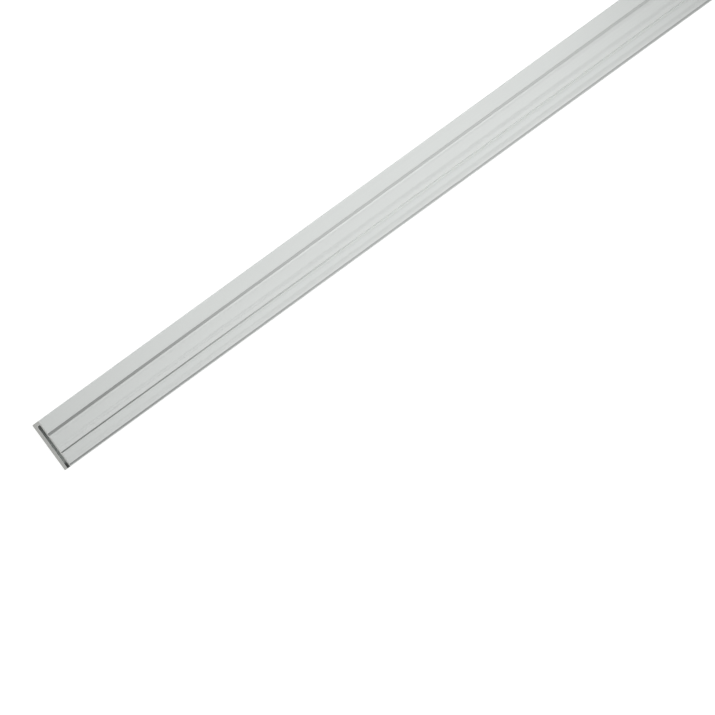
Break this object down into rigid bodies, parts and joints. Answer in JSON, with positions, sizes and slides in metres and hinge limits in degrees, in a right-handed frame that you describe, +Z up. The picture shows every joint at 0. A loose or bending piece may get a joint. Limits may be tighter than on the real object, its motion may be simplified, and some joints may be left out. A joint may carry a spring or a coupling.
{
  "type": "aluminium extrusion profile",
  "caption": "Bar of extruded aluminium: a flat channel with a slot open along one long side, and a shadow line, a marking line, shallow flutes and a lip along its face.",
  "frame": {"origin": "middle of the underside, halfway along the bar", "axes": "+X along the bar, +Y across the face towards the closed side, +Z up from the underside to the face"},
  "size_m": [1, 0.04, 0.011],
  "materials": {
    "anodised_aluminium": "satin natural anodised, with fine die lines along the bar and bare sawn ends"
  },
  "bodies": {
    "root": {"profile": "anodised_aluminium"}
  },
  "joints": []
}
